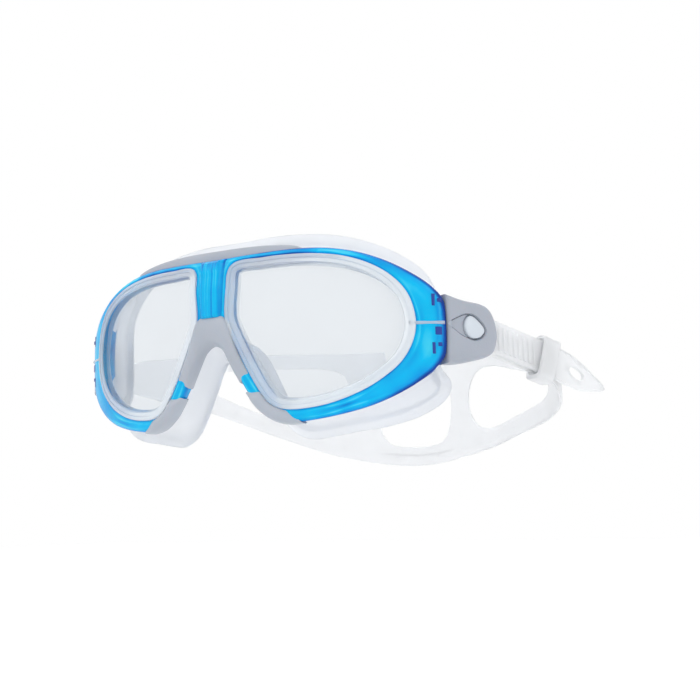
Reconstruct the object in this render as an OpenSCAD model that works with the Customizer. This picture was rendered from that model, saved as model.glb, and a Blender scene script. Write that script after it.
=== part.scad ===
// Swim goggles: a one-piece swim mask frame with two lens panels, a soft skirt, push-button strap
// clips hinged at the temples and a split head strap with adjustable ends.
// Millimetres. +Z is up, -Y is the way the wearer looks, +X is the wearer's left.
// The origin lies on the mid plane, at the temple line, in the plane of the face seal at the bridge.

/* [Frame] */
// Distance from the face seal to the front of the frame at the bridge
seal_depth = 20; // [18:0.5:22]
// Radius of the wrap of the frame's front face, seen from above
front_r = 132; // [126:1:140]
// Radius of the wrap of the frame's back face
back_r = 114; // [110:1:118]
// Thickness of the frame at the bridge
frame_t = 6; // [5:0.5:7]
// How far the centre bar stands out in front of the frame
bar_proud = 2; // [1:0.5:2.5]

/* [Lenses] */
// Thickness of each lens panel
lens_t = 2; // [1.6:0.1:2.2]
// Radius of the lens' front face
lens_r = 118; // [114:1:120]
// How far the lens lies behind the frame's front at the bridge
lens_recess = 1; // [0.8:0.1:1.4]

/* [Clips] */
// Angle of the clips from straight sideways, seen from above
clip_angle = 58; // [54:1:62]
// Travel of a release button
button_travel = 1; // [0.6:0.1:1]
// Radius of the release button
button_r = 3.9; // [3.4:0.1:4]

/* [Strap] */
// Width of the strap where it runs through a clip
strap_w = 12.6; // [11:0.2:13]
// Thickness of the strap
strap_t = 1.3; // [1.1:0.1:1.4]
// Width of the lower band at the back of the head
low_band_w = 9.3; // [8:0.1:12]
// Width of the upper band at the back of the head
high_band_w = 8; // [7:0.1:12]
// Fall of the left strap end for each millimetre along it
left_fall = 0.3; // [0:0.05:0.35]
// Fall of the right strap end for each millimetre along it
right_fall = -0.1; // [-0.1:0.05:0.3]

/* [Hidden] */

fit = 0.1;
front_y = -seal_depth;
lens_y = front_y + lens_recess;
back_y = front_y + frame_t;

// Outlines in front view, [x, z]. The half outlines run from the top on the mid plane, over the
// temple and the cheek, and up the nose arch to the mid plane again.
frame_half = [[0, 28.6], [16, 29], [31, 29.4], [42, 28.8], [52, 26.8], [61, 23.4], [69, 18.8],
              [75.5, 13.6], [79.2, 8], [80, 0], [79.8, -7], [78.6, -12.5], [73.5, -18.5],
              [66, -23.8], [57, -28], [47, -30.7], [37, -32.3], [30, -32.7], [24.5, -31.3],
              [19, -27.5], [15, -22.3], [10.2, -14.5], [5.5, -6], [0, -2.6]];
skirt_root_half = [[0, 24.5], [16, 25.5], [31, 26.8], [41.5, 26.4], [51, 24.6], [59.5, 21.2],
                   [66, 16.5], [70.5, 11], [72, 5.5], [72.2, 0], [72, -6], [70.5, -11],
                   [66.5, -16.3], [60.5, -21], [53.5, -24.8], [45, -27.4], [37, -28.8],
                   [30.5, -29.3], [26, -28.2], [21.5, -25], [17.8, -19.5], [12.5, -11.8],
                   [8, -3], [0, 1]];
seal_half = [[0, 37.6], [17, 38], [33, 37], [44, 34.8], [54, 31], [62, 26.3], [68, 20.8],
             [71, 14.5], [71.6, 7.5], [71.5, 0], [71.5, -8], [71.8, -14], [74.8, -19.5],
             [72.8, -25.5], [65, -30.8], [54.5, -34], [45, -35.3], [36.5, -36.7], [28.5, -37.4],
             [21.8, -34.4], [17.2, -28.6], [12, -18.5], [6.8, -8.2], [0, -4]];
lens_loop = [[9.5, 24.4], [20, 25.3], [30, 25.5], [39.5, 25], [49, 23.4], [57, 20.4], [63.5, 16],
             [68, 10], [70, 2], [69.3, -5], [66.3, -11.5], [61.5, -16.5], [54.5, -21.2],
             [45, -25], [36, -26.6], [28.5, -26.5], [24, -24.3], [21, -20.5], [18, -15.5],
             [14.5, -9], [11.3, -2.5], [8.3, 4], [7.6, 8], [8.2, 16]];
grip_half = [[0, 7], [4, 6.8], [7, 4.6], [9, 0.4], [11.2, -4.6], [13.6, -9.5], [17.1, -16],
             [20.2, -21.1], [23.6, -25.2], [28.5, -27.6], [34.5, -28.2], [36, -30.5], [35, -33.4],
             [29.5, -33.6], [24.2, -32.1], [18.6, -28.1], [14.5, -22.9], [9.7, -15], [5.1, -6.8],
             [0, -3.4]];

// The head strap's centre line seen from above, [x, y], from a clip's strap end to the mid plane.
strap_plan = [[101.4, 51.8], [102.4, 57], [101.2, 64], [97, 75], [90, 88.5], [80, 104],
              [63, 122], [37, 140.5], [0, 150]];
// Its lower and upper edges at those points, on the left and on the right.
strap_edges_left = [[-18.2, -5.2], [-21, -6], [-24, -6.6], [-26.2, -6.8], [-28.3, -5.8],
                    [-30.2, -2.5], [-33.2, 3.2], [-39, 9.5], [-44, 13]];
strap_edges_right = [[-7.2, 5.6], [-7.6, 6.2], [-8.8, 8], [-10.8, 9.6], [-13.5, 11.6], [-19, 13],
                     [-28, 13.6], [-38.5, 13.8], [-44, 13]];
window_tip = 4.4;
bar_in = 7.2;
bar_out = 7.48;
rear_start = 4.05;

// The clips' own frame: u runs along the clip from its hinge pin, w points towards the head.
pin_x = 74.4;
pin_y = 7.8;
pin_r = 0.9;
ear_r = 2.7;
clip_front = 3.3;
hinge_turn = 12;
clip_out = -6.4;
clip_in = 2.6;
wall = 0.9;
strap_z = -3.5;
clip_outline = [[3.3, 10.4], [9.6, 8.6], [18, 7.4], [22, 5], [24.2, 0], [24.3, -5.5], [21.2, -10.6],
                [11.4, -13.4], [3.3, -14]];
button_u = 14.4;
button_z = -1.3;
ears = [[3.2, 7.2], [-11.2, -6.8]];
turn_u = 8.6;
turn_w = -1.1;
turn_r = 1.65;
bar_r = 0.95;
run_bend = 24;
tail_start = 51.5;
tail_tip = 74.8;
tail_hole = 9.8;
rib_start = 25;
rib_pitch = 2.2;
rib_count = 8;
rib_h = 0.5;
rib_w = 8.6;
keeper_u = 47.8;
keeper_l = 7.2;
keeper_h = 17.6;
keeper_w1 = -5.55;
keeper_w2 = 2.85;

grip_proud = 1.2;
grip_sunk = 0.4;
spring_seat = 1.35;
plate_w = -1.95;
plate_t = 0.6;

// ---- outlines ----
function flip(p) = [for (i = [len(p) - 2:-1:1]) [-p[i][0], p[i][1]]];
function whole(half) = concat(half, flip(half));
function spline(a, b, c, d, t) =
    0.5 * (2 * b + (c - a) * t + (2 * a - 5 * b + 4 * c - d) * t * t
           + (3 * b - a - 3 * c + d) * t * t * t);
function smooth_loop(p, n = 3) =
    let (m = len(p))
    [for (i = [0:m - 1], j = [0:n - 1])
        spline(p[(i + m - 1) % m], p[i], p[(i + 1) % m], p[(i + 2) % m], j / n)];
function extend(p) = concat([2 * p[0] - p[1]], p, [2 * p[len(p) - 1] - p[len(p) - 2]]);
function along(p, t) =
    let (q = extend(p), i = min(floor(t), len(p) - 2))
    spline(q[i], q[i + 1], q[i + 2], q[i + 3], t - i);
function unit(v) = v / norm(v);
function halves(quads) = [for (q = quads, i = [1, 2]) [q[0], q[i], q[i + 1]]];
function normal_at(p, i) =
    let (m = len(p), d = unit(p[(i + 1) % m] - p[(i + m - 1) % m]))
    [-d[1], d[0]];
function grow(p, d) = [for (i = [0:len(p) - 1]) p[i] + d * normal_at(p, i)];
function mix(a, b, t) = a + (b - a) * t;
function wrap(x, r) = r - sqrt(r * r - x * x);

frame_loop = smooth_loop(whole(frame_half));
root_loop = smooth_loop(whole(skirt_root_half));
seal_loop = smooth_loop(whole(seal_half));
lens_edge = smooth_loop(lens_loop);
grip_loop = smooth_loop(whole(grip_half));

// ---- shared shapes ----
module face_plate(points) {
    translate([0, 60, 0])
        rotate([90, 0, 0])
            linear_extrude(120)
                polygon(points);
}
module behind(y, r) {
    translate([0, y + r, -60])
        cylinder(r = r, h = 120, $fn = 240);
}
module between(y1, r1, y2, r2) {
    difference() {
        behind(y1, r1);
        translate([0, 0, -1]) scale([1, 1, 1.02]) behind(y2, r2);
    }
}
module ring_solid(rings) {
    n = len(rings[0]);
    m = len(rings);
    polyhedron(
        points = [for (r = rings, p = r) p],
        faces = [for (k = [0:m - 1], i = [0:n - 1], half = [0, 1])
            let (a = k * n + i, b = k * n + (i + 1) % n,
                 c = ((k + 1) % m) * n + (i + 1) % n, d = ((k + 1) % m) * n + i)
            half == 0 ? [a, b, c] : [a, c, d]]);
}
module left_clip_frame() {
    translate([pin_x, pin_y, 0]) rotate([0, 0, clip_angle]) children();
}
module right_clip_frame() {
    mirror([1, 0, 0]) left_clip_frame() children();
}
module both_clip_frames() {
    left_clip_frame() children();
    right_clip_frame() children();
}

// ---- frame ----
module hinge_room() {
    gap = clip_front - 0.3;
    translate([0, 0, -40])
        linear_extrude(80)
            polygon([[gap, -30], [gap, gap * tan(hinge_turn / 2)],
                     [gap / cos(hinge_turn) - 30 * tan(hinge_turn), 30], [43, 30], [43, -30]]);
    for (e = ears) {
        translate([0, 0, e[0] - 0.3])
            cylinder(r = ear_r + 0.5, h = e[1] - e[0] + 0.6, $fn = 48);
        translate([0, -2.8, e[0] - 0.3])
            cube([6, 5.6, e[1] - e[0] + 0.6]);
    }
    translate([0, 0, -13.6])
        cylinder(r = pin_r + 0.02, h = 23.2, $fn = 48);
}
module lens_room(y, r, d) {
    for (side = [0, 1])
        mirror([side, 0, 0])
            intersection() {
                face_plate(grow(lens_edge, d));
                behind(y, r);
            }
}
module frame() {
    color([0.05, 0.62, 0.93, 0.8])
    difference() {
        union() {
            intersection() {
                face_plate(frame_loop);
                between(front_y, front_r, back_y, back_r);
            }
            translate([0, front_y + 2.5, 0])
                rotate([90, 0, 0])
                    linear_extrude(2.5 + bar_proud)
                        polygon([[-5.8, 27.6], [5.8, 27.6], [4.8, 6.5], [-4.8, 6.5]]);
        }
        lens_room(front_y - 1, front_r, 0);
        lens_room(lens_y - 0.05, lens_r, 1.35);
        both_clip_frames() hinge_room();
        intersection() {
            face_plate(grow(grip_loop, fit));
            between(front_y - 5, front_r, front_y + grip_sunk + 0.05, front_r);
        }
    }
}

// ---- lens panels, one module for both sides ----
module lens() {
    color([0.88, 0.92, 0.95, 0.45])
    intersection() {
        face_plate(grow(lens_edge, 1.25));
        between(lens_y, lens_r, lens_y + lens_t, lens_r - lens_t);
    }
}
module lens_left() lens();
module lens_right() mirror([1, 0, 0]) lens();

// ---- soft grips ----
module nose_grip() {
    color([0.67, 0.69, 0.75])
    intersection() {
        face_plate(grip_loop);
        between(front_y - grip_proud, front_r, front_y + grip_sunk, front_r);
    }
}
module brow_grip() {
    color([0.67, 0.69, 0.75])
    intersection() {
        difference() {
            face_plate(grow(frame_loop, 2.4));
            face_plate(grow(frame_loop, 0.15));
        }
        between(front_y + 0.8, front_r, back_y - 0.1, back_r);
        translate([-34, -60, 10])
            cube([68, 120, 40]);
    }
}

// ---- skirt ----
function skirt_ring(t, d, face) =
    let (base = [for (i = [0:len(seal_loop) - 1]) mix(root_loop[i], seal_loop[i], t)],
         line = grow(base, d))
    [for (p = line) [p[0],
                     mix(back_y + fit + wrap(min(abs(p[0]), 79), back_r),
                         wrap(p[0], front_r) * 0.93, face[0]) + face[1], p[1]]];
module skirt() {
    color([0.87, 0.9, 0.94, 0.7])
    ring_solid([
        skirt_ring(0, 1.2, [0, 0]),
        skirt_ring(0.3, 1, [0.45, 0]),
        skirt_ring(0.8, 0.6, [0.8, 0]),
        skirt_ring(1, 0, [1, -1]),
        skirt_ring(1, -1.2, [1, 0]),
        skirt_ring(1, -6.4, [1, 0.8]),
        skirt_ring(1, -6.6, [1, -0.4]),
        skirt_ring(1, -2.8, [1, -1.8]),
        skirt_ring(0.75, -1.6, [0.75, 0]),
        skirt_ring(0.3, -0.8, [0.4, 0]),
        skirt_ring(0, -0.8, [0, 0])]);
}

// ---- head strap, a ribbon with three windows ----
strap_plan_whole = concat(strap_plan, [for (i = [len(strap_plan) - 2:-1:0])
                                           [-strap_plan[i][0], strap_plan[i][1]]]);
strap_edge_whole = concat(strap_edges_left,
                          [for (i = [len(strap_edges_right) - 2:-1:0]) strap_edges_right[i]]);
last = len(strap_plan_whole) - 1;
function strap_row(t) =
    let (e = along(strap_edge_whole, t), q = min(t, last - t),
         open = max(0, min(1, (q - window_tip + 0.4) / 0.8)),
         lower = min(e[0] + low_band_w, (e[0] + e[1]) / 2 - 0.6),
         upper = max(e[1] - high_band_w, (e[0] + e[1]) / 2 + 0.6))
    [e[0], mix(mix(e[0], e[1], 0.4), lower, open), mix(mix(e[0], e[1], 0.6), upper, open), e[1]];
function strap_side(t) =
    let (d = unit(along(strap_plan_whole, min(t + 0.05, last))
                  - along(strap_plan_whole, max(t - 0.05, 0))))
    [d[1], -d[0]];
function is_open(t) =
    let (q = min(t, last - t))
    (q > window_tip && q < bar_in) || q > bar_out;
module ribbon(ts) {
    n = len(ts);
    function at(i, row, side) = (i * 4 + row) * 2 + side;
    function face(i, row) = [at(i, row, 0), at(i + 1, row, 0),
                             at(i + 1, row + 1, 0), at(i, row + 1, 0)];
    function back(i, row) = [at(i, row + 1, 1), at(i + 1, row + 1, 1),
                             at(i + 1, row, 1), at(i, row, 1)];
    function floor_edge(i, row) = [at(i, row, 1), at(i + 1, row, 1),
                                   at(i + 1, row, 0), at(i, row, 0)];
    function roof_edge(i, row) = [at(i, row, 0), at(i + 1, row, 0),
                                  at(i + 1, row, 1), at(i, row, 1)];
    function end_cap(i, row) = [at(i, row, 0), at(i, row + 1, 0),
                                at(i, row + 1, 1), at(i, row, 1)];
    function far_cap(i, row) = [at(i, row, 1), at(i, row + 1, 1),
                                at(i, row + 1, 0), at(i, row, 0)];
    points = [for (t = ts, row = [0:3], side = [0, 1])
        let (c = along(strap_plan_whole, t) + (side * 2 - 1) * strap_t / 2 * strap_side(t))
        [c[0], c[1], strap_row(t)[row]]];
    hole = [for (i = [0:n - 2]) is_open((ts[i] + ts[i + 1]) / 2)];
    quads = concat(
        [for (i = [0:n - 2], row = [0:2]) if (row != 1 || !hole[i]) face(i, row)],
        [for (i = [0:n - 2], row = [0:2]) if (row != 1 || !hole[i]) back(i, row)],
        [for (i = [0:n - 2]) floor_edge(i, 0)],
        [for (i = [0:n - 2]) roof_edge(i, 3)],
        [for (i = [0:n - 2]) if (hole[i]) roof_edge(i, 1)],
        [for (i = [0:n - 2]) if (hole[i]) floor_edge(i, 2)],
        [for (i = [1:n - 2]) if (hole[i] && !hole[i - 1]) far_cap(i, 1)],
        [for (i = [1:n - 2]) if (!hole[i] && hole[i - 1]) end_cap(i, 1)],
        [for (row = [0:2]) end_cap(0, row)],
        [for (row = [0:2]) far_cap(n - 1, row)]);
    polyhedron(points = points, faces = halves(quads));
}
function half_stops() = concat(
    [rear_start, window_tip],
    [for (t = [4.7:0.3:7]) t],
    [bar_in, bar_out],
    [for (t = [7.6:0.2:7.9]) t]);
module head_strap() {
    near = half_stops();
    far = [for (i = [len(near) - 1:-1:0]) last - near[i]];
    color([0.88, 0.91, 0.94, 0.6])
    ribbon(concat(near, [last / 2], far));
}

// ---- hinge pins ----
module hinge_pin() {
    color("silver")
    translate([0, 0, -13.5])
        cylinder(r = pin_r, h = 23, $fn = 32);
}
module hinge_pin_left() left_clip_frame() hinge_pin();
module hinge_pin_right() right_clip_frame() hinge_pin();

// ---- clips ----
module clip_slab(w1, w2, inset = 0) {
    translate([0, w2, 0])
        rotate([90, 0, 0])
            linear_extrude(w2 - w1)
                polygon(smooth_clip(inset));
}
function smooth_clip(d) = grow(concat(
    [clip_outline[0]],
    [for (i = [1:len(clip_outline) - 3], j = [0:2])
        spline(clip_outline[i - 1], clip_outline[i], clip_outline[i + 1],
               clip_outline[min(i + 2, len(clip_outline) - 1)], j / 3)],
    [clip_outline[len(clip_outline) - 2], clip_outline[len(clip_outline) - 1]]), -d);
module ear(z1, z2) {
    translate([0, 0, z1])
        difference() {
            union() {
                cylinder(r = ear_r, h = z2 - z1, $fn = 48);
                translate([0, -2.4, 0])
                    cube([clip_front + 1, 2, z2 - z1]);
            }
            translate([0, 0, -1])
                cylinder(r = pin_r + 0.06, h = z2 - z1 + 2, $fn = 48);
        }
}
module clip_cavity(w1, w2) {
    translate([6, w1, -11.6])
        cube([12.4, w2 - w1, 17]);
    translate([18.3, w1, strap_z - strap_w / 2 - 0.5 - 1.2])
        cube([8, w2 - w1, strap_w + 1.8]);
}
module clip_housing() {
    color([0.66, 0.69, 0.75])
    difference() {
        union() {
            clip_slab(clip_out, -0.2);
            for (e = ears) ear(e[0], e[1]);
        }
        difference() {
            clip_cavity(clip_out + wall, 1);
            translate([-1, -10, -40])
                cube([7, 20, 80]);
        }
        translate([button_u, clip_out + wall + 1, button_z])
            rotate([90, 0, 0])
                cylinder(r = button_r + 0.15, h = 5, $fn = 64);
        translate([turn_u, turn_w, -13])
            cylinder(r = bar_r + 0.05, h = 20, $fn = 32);
    }
}
module clip_cover() {
    color([0.6, 0.63, 0.7])
    difference() {
        clip_slab(-0.1, clip_in, 0.6);
        clip_cavity(-1, clip_in - 1.2);
    }
}
module strap_bar() {
    color("silver")
    translate([turn_u, turn_w, -12.6])
        cylinder(r = bar_r, h = 19, $fn = 32);
}
module button() {
    leg_u = button_u - 2;
    color([0.92, 0.95, 0.97, 0.8])
    union() {
        translate([button_u, clip_out + wall + 0.05, button_z])
            rotate([90, 0, 0])
                cylinder(r = button_r, h = wall + 0.55, $fn = 64);
        translate([button_u, clip_out + wall + 0.5, button_z])
            rotate([90, 0, 0])
                cylinder(r = button_r + 0.7, h = 0.45, $fn = 64);
        translate([leg_u, clip_out + wall + 0.05, -11.2])
            cube([4, 0.45, 16.2]);
        for (z = [-11.2, 3.9])
            translate([leg_u, clip_out + wall + 0.05, z])
                cube([4, 4.15, 1.1]);
        translate([leg_u, plate_w, -11.2])
            cube([4, plate_t, 16.2]);
    }
}
module button_springs() {
    color("silver")
    for (z = [-10.65, 4.45])
        translate([button_u, spring_seat, z])
            rotate([90, 0, 0])
                cylinder(r = 0.6, h = spring_seat - plate_w - plate_t - button_travel - 0.05, $fn = 24);
}
module clip_housing_left() left_clip_frame() clip_housing();
module clip_housing_right() right_clip_frame() clip_housing();
module clip_cover_left() left_clip_frame() clip_cover();
module clip_cover_right() right_clip_frame() clip_cover();
module strap_bar_left() left_clip_frame() strap_bar();
module strap_bar_right() right_clip_frame() strap_bar();
module button_left() left_clip_frame() button();
module button_right() right_clip_frame() button();
module button_springs_left() left_clip_frame() button_springs();
module button_springs_right() right_clip_frame() button_springs();

// ---- strap ends: the run into the clip, the turn round the strap bar and the ribbed run out ----
function to_clip(p) =
    let (d = p - [pin_x, pin_y])
    [d[0] * cos(clip_angle) + d[1] * sin(clip_angle),
     -d[0] * sin(clip_angle) + d[1] * cos(clip_angle)];
function run_z(u, fall) = strap_z - fall * max(0, u - run_bend);
function run_stop(u, w, fall) =
    [u, w, run_z(u, fall) - strap_w / 2, run_z(u, fall) + strap_w / 2];
function tail_stop(u, fall) =
    let (t = (u - tail_start) / (tail_tip - tail_start),
         z = run_z(tail_start, fall) - (fall + 0.1) * (u - tail_start),
         half = strap_w / 2 * sqrt(max(0.04, 1 - pow(max(0, t - 0.25) / 0.76, 2))))
    [u, turn_w - turn_r, z - half, z + half];
function end_stops(edges, fall) = concat(
    [for (t = [rear_start - 0.3:-0.25:0.25])
        let (c = to_clip(along(strap_plan, t)), e = along(edges, t))
        [c[0], c[1], e[0], e[1]]],
    [for (u = [tail_start, 44, 34, run_bend, turn_u]) run_stop(u, turn_w + turn_r, fall)],
    [for (a = [112.5:22.5:247.5])
        run_stop(turn_u + turn_r * cos(a), turn_w + turn_r * sin(a), fall)],
    [for (u = [turn_u, run_bend, 34, 44, tail_start]) run_stop(u, turn_w - turn_r, fall)],
    [for (u = [tail_start + 3:2:tail_tip]) tail_stop(u, fall)]);
module band(stops) {
    n = len(stops);
    function dir(i) = unit([for (k = [0, 1])
        stops[min(i + 1, n - 1)][k] - stops[max(i - 1, 0)][k]]);
    function at(i, side, top) = (i * 2 + side) * 2 + top;
    quads = concat(
        [for (i = [0:n - 2]) [at(i, 0, 0), at(i, 0, 1), at(i + 1, 0, 1), at(i + 1, 0, 0)]],
        [for (i = [0:n - 2]) [at(i, 1, 0), at(i + 1, 1, 0), at(i + 1, 1, 1), at(i, 1, 1)]],
        [for (i = [0:n - 2]) [at(i, 0, 0), at(i + 1, 0, 0), at(i + 1, 1, 0), at(i, 1, 0)]],
        [for (i = [0:n - 2]) [at(i, 0, 1), at(i, 1, 1), at(i + 1, 1, 1), at(i + 1, 0, 1)]],
        [[at(0, 0, 0), at(0, 1, 0), at(0, 1, 1), at(0, 0, 1)]],
        [[at(n - 1, 0, 0), at(n - 1, 0, 1), at(n - 1, 1, 1), at(n - 1, 1, 0)]]);
    polyhedron(
        points = [for (i = [0:n - 1], side = [0, 1], top = [0, 1])
            let (d = dir(i), off = (side - 0.5) * strap_t)
            [stops[i][0] - d[1] * off, stops[i][1] + d[0] * off, stops[i][2 + top]]],
        faces = halves(quads));
}
module strap_end(edges, fall) {
    hole_u = tail_start + tail_hole;
    hole_z = (tail_stop(hole_u, fall)[2] + tail_stop(hole_u, fall)[3]) / 2;
    color([0.88, 0.91, 0.94, 0.6])
    difference() {
        union() {
            band(end_stops(edges, fall));
            for (i = [0:rib_count - 1])
                let (u = rib_start + i * rib_pitch)
                translate([u, turn_w - turn_r - strap_t / 2 - rib_h, run_z(u, fall) - rib_w / 2])
                    cube([rib_pitch / 2, rib_h + 0.2, rib_w]);
        }
        translate([hole_u, 0, hole_z])
            rotate([90, 0, 0])
                cylinder(r = 2, h = 20, $fn = 48);
    }
}
module keeper(fall) {
    color([0.86, 0.89, 0.93, 0.7])
    translate([keeper_u, (keeper_w1 + keeper_w2) / 2, run_z(keeper_u, fall)])
        rotate([0, atan(fall), 0])
            difference() {
                cube([keeper_l, keeper_w2 - keeper_w1, keeper_h], center = true);
                cube([keeper_l + 2, keeper_w2 - keeper_w1 - 2.6, strap_w + 0.7], center = true);
            }
}
module strap_end_left() left_clip_frame() strap_end(strap_edges_left, left_fall);
module strap_end_right() right_clip_frame() strap_end(strap_edges_right, right_fall);
module keeper_left() left_clip_frame() keeper(left_fall);
module keeper_right() right_clip_frame() keeper(right_fall);

frame();
lens_left();
lens_right();
nose_grip();
brow_grip();
skirt();
head_strap();
hinge_pin_left();
hinge_pin_right();
clip_housing_left();
clip_housing_right();
clip_cover_left();
clip_cover_right();
strap_bar_left();
strap_bar_right();
button_left();
button_right();
button_springs_left();
button_springs_right();
strap_end_left();
strap_end_right();
keeper_left();
keeper_right();
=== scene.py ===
# Swim goggles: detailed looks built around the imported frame.
# Lengths are millimetres until Shell.build makes them metres. +Z is up, the mask's front faces -Y, and
# side 1 is the wearer's left (+X), side -1 the right.
import math

import bmesh
import bpy
import numpy as np
from mathutils import Matrix, Vector


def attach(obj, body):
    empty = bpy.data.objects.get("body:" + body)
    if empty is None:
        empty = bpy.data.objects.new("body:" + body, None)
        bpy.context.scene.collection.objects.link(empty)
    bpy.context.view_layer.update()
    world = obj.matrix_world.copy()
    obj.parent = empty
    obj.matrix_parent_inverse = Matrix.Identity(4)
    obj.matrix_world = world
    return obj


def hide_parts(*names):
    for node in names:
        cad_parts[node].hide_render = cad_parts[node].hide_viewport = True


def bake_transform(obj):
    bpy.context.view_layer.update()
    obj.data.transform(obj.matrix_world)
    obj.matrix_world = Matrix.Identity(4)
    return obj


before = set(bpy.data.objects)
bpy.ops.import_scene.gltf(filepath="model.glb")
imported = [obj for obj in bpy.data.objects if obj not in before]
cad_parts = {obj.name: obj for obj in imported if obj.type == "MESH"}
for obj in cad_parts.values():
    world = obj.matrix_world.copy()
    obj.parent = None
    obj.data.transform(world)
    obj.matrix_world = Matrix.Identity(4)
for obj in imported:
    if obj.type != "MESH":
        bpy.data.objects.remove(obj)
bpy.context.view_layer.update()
MM = 0.001

# -------- outlines, [x, z], half of the front view
FRAME_HALF = [[0, 28.6], [16, 29], [31, 29.4], [42, 28.8], [52, 26.8], [61, 23.4], [69, 18.8],
              [75.5, 13.6], [79.2, 8], [80, 0], [79.8, -7], [78.6, -12.5], [73.5, -18.5],
              [66, -23.8], [57, -28], [47, -30.7], [37, -32.3], [30, -32.7], [24.5, -31.3],
              [19, -27.5], [15, -22.3], [10.2, -14.5], [5.5, -6], [0, -2.6]]
SKIRT_ROOT = [[0, 24.5], [16, 25.5], [31, 26.8], [41.5, 26.4], [51, 24.6], [59.5, 21.2],
              [66, 16.5], [70.5, 11], [72, 5.5], [72.2, 0], [72, -6], [70.5, -11],
              [66.5, -16.3], [60.5, -21], [53.5, -24.8], [45, -27.4], [37, -28.8],
              [30.5, -29.3], [26, -28.2], [21.5, -25], [17.8, -19.5], [12.5, -11.8],
              [8, -3], [0, 1]]
SKIRT_SEAL = [[0, 37.6], [17, 38], [33, 37], [44, 34.8], [54, 31], [62, 26.3], [68, 20.8],
              [71, 14.5], [71.6, 7.5], [71.5, 0], [71.5, -8], [71.8, -14], [74.8, -19.5],
              [72.8, -25.5], [65, -30.8], [54.5, -34], [45, -35.3], [36.5, -36.7], [28.5, -37.4],
              [21.8, -34.4], [17.2, -28.6], [12, -18.5], [6.8, -8.2], [0, -4]]
LENS_LOOP = [[9.5, 24.4], [20, 25.3], [30, 25.5], [39.5, 25], [49, 23.4], [57, 20.4], [63.5, 16],
             [68, 10], [70, 2], [69.3, -5], [66.3, -11.5], [61.5, -16.5], [54.5, -21.2],
             [45, -25], [36, -26.6], [28.5, -26.5], [24, -24.3], [21, -20.5], [18, -15.5],
             [14.5, -9], [11.3, -2.5], [8.3, 4], [7.6, 8], [8.2, 16]]
GRIP_LENS_SIDE = [[0, 7], [4, 6.8], [7, 4.6], [9, 0.4], [11.2, -4.6], [13.6, -9.5], [17.1, -16],
                  [20.2, -21.1], [23.6, -25.2], [28.5, -27.6], [34.5, -28.4]]
GRIP_NOSE_SIDE = [[0, -3.2], [3, -4.4], [5.2, -6.6], [7.5, -10.6], [9.8, -14.8], [12.1, -18.8],
                  [14.6, -22.8], [18.7, -28], [24.2, -31.9], [29.5, -33.2], [34.5, -33]]

# -------- strap, clip
STRAP_PLAN = [[101.4, 51.8], [102.4, 57], [101.2, 64], [97, 75], [90, 88.5], [80, 104],
              [63, 122], [37, 140.5], [0, 150]]
STRAP_EDGES = {1: [[-18.2, -5.2], [-21, -6], [-24, -6.6], [-26.2, -6.8], [-28.3, -5.8],
                   [-30.2, -2.5], [-33.2, 3.2], [-39, 9.5], [-44, 13]],
               -1: [[-7.2, 5.6], [-7.6, 6.2], [-8.8, 8], [-10.8, 9.6], [-13.5, 11.6], [-19, 13],
                    [-28, 13.6], [-38.5, 13.8], [-44, 13]]}
FALL = {1: 0.3, -1: -0.1}
BODY = {1: "left", -1: "right"}
STRAP_W = 12.6
STRAP_T = 1.3
BAND_LOW, BAND_HIGH = 9.3, 8
STRAP_Z = -3.5
RUN_BEND = 24
TAIL_START = 51.5
INNER_RUN_W, OUTER_RUN_W = 0.55, -2.75  # where the strap's two runs lie through the clip
PIN = (74.4, 7.8)
CLIP_TURN = math.radians(58)
CLIP_OUTLINE = [[3.3, 10.4], [9.6, 8.6], [18, 7.4], [22, 5], [24.2, 0], [24.3, -5.5],
                [21.2, -10.6], [11.4, -13.4], [3.3, -14]]
BUTTON_CENTRE = np.array([14.4, -1.3])
ALMOND = [[3.9, -0.1], [7.4, 2.2], [11.3, 3.5], [15.2, 2.4], [18.9, -1.7], [17.2, -4.6],
          [13.8, -5.7], [9.2, -4.2], [6, -2]]
INSERT = [[10.6, 1.2], [12.3, 2.9], [14.9, 1.9], [18.3, -1.7], [16.8, -4.3], [13.9, -5.1],
          [11.6, -4.3], [10.2, -1.6]]
EAR_Z = [(3.2, 7.2), (-11.2, -6.8)]


# -------- curves and surfaces
def catmull(points, n, closed=True):
    """A smooth curve through the points, with n steps between each two."""
    p = np.asarray(points, float)
    if closed:
        pad = np.vstack([p[-1:], p, p[:2]])
    else:
        pad = np.vstack([2 * p[:1] - p[1:2], p, 2 * p[-1:] - p[-2:-1]])
    t = (np.arange(n) / n)[:, None]
    out = []
    for i in range(len(pad) - 3):
        a, b, c, d = pad[i:i + 4]
        out.append(0.5 * (2 * b + (c - a) * t + (2 * a - 5 * b + 4 * c - d) * t * t
                          + (3 * b - a - 3 * c + d) * t ** 3))
    if not closed:
        out.append(p[-1:])
    return np.vstack(out)


def mirrored_whole(half):
    """The whole outline from its +X half, whose first and last points lie on the middle line."""
    half = np.asarray(half, float)
    return np.vstack([half, (half * [-1, 1])[-2:0:-1]])


def even(points, n, closed=True):
    """The same line with n points at equal spaces."""
    q = np.vstack([points, points[:1]]) if closed else np.asarray(points, float)
    d = np.r_[0, np.cumsum(np.linalg.norm(np.diff(q, axis=0), axis=1))]
    s = np.linspace(0, d[-1], n + 1)[:-1] if closed else np.linspace(0, d[-1], n)
    return np.stack([np.interp(s, d, q[:, k]) for k in range(q.shape[1])], 1)


def grow(loop, d):
    """A closed outline moved outwards by d."""
    t = np.roll(loop, -1, 0) - np.roll(loop, 1, 0)
    t /= np.linalg.norm(t, axis=1)[:, None]
    return loop + d * np.stack([-t[:, 1], t[:, 0]], 1)


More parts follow.
